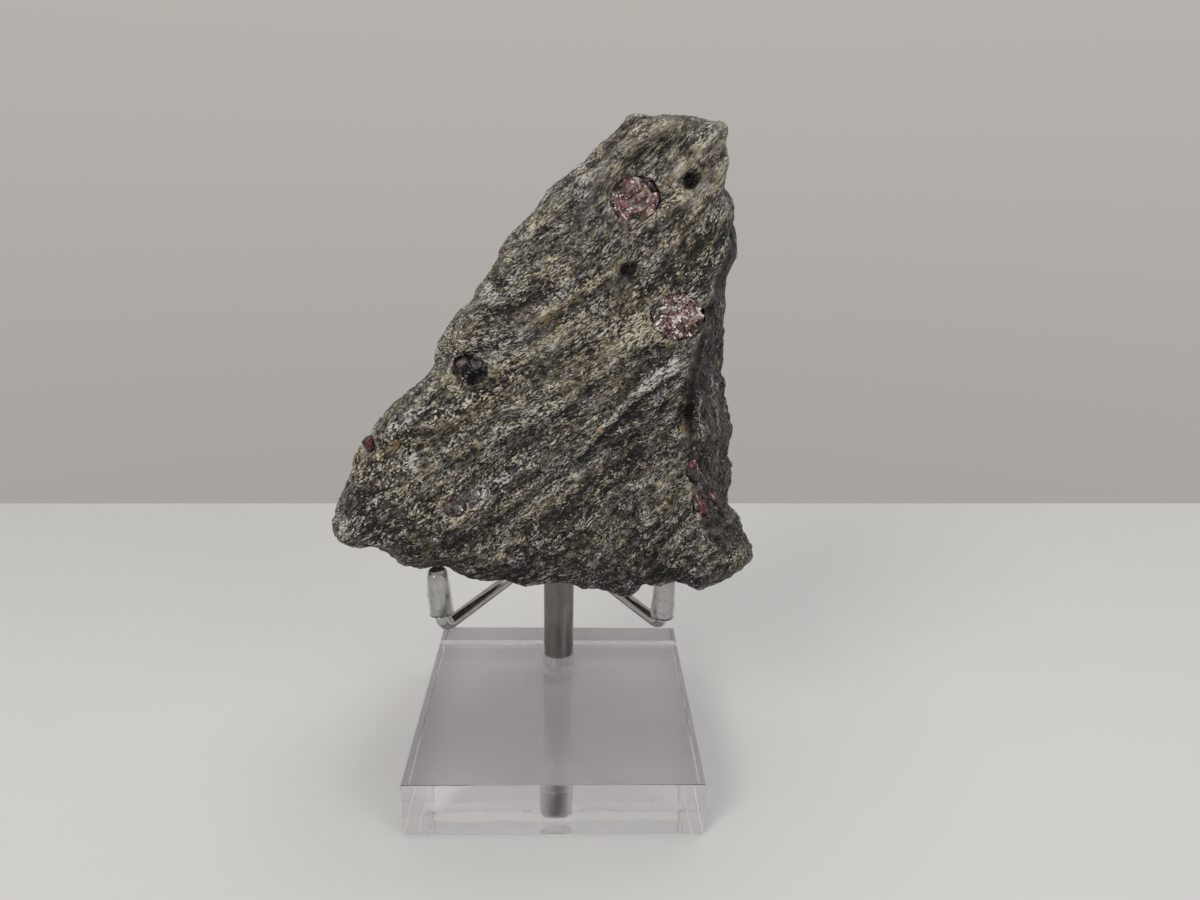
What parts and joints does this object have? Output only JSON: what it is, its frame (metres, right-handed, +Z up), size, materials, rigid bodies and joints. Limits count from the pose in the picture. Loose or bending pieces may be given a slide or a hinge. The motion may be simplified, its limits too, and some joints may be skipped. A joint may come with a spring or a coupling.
{
  "type": "garnet in matrix",
  "caption": "Garnet crystals in a wedge of grey mica schist, held upright by a wire-prong display stand with a clear acrylic base.",
  "frame": {"origin": "centre of the acrylic base's underside, where the stand rests on a shelf", "axes": "+Z up along the post and the rock's longest side, -Y out of the rock's display face, +X to the right as it is looked at"},
  "size_m": [0.0693, 0.05, 0.1135],
  "materials": {
    "mica_schist": "rough broken foliated rock with silvery mica",
    "garnet": "dark red broken glassy crystal",
    "clear_acrylic": "polished clear acrylic",
    "clear_vinyl": "soft clear vinyl cap",
    "post_steel": "dull satin rod",
    "wire_steel": "bright drawn wire"
  },
  "bodies": {
    "root": {"acrylic_base": "clear_acrylic", "post": "post_steel", "arm_left": "wire_steel", "arm_right": "wire_steel", "back_prong": "wire_steel", "sleeve_left": "clear_vinyl", "sleeve_right": "clear_vinyl", "sleeve_back": "clear_vinyl", "matrix": "mica_schist", "garnet_upper": "garnet", "garnet_middle": "garnet", "garnet_left": "garnet", "garnet_rim": "garnet", "garnet_lower": "garnet", "garnet_flank_top": "garnet", "garnet_flank_middle": "garnet", "garnet_flank_low": "garnet"}
  },
  "joints": []
}
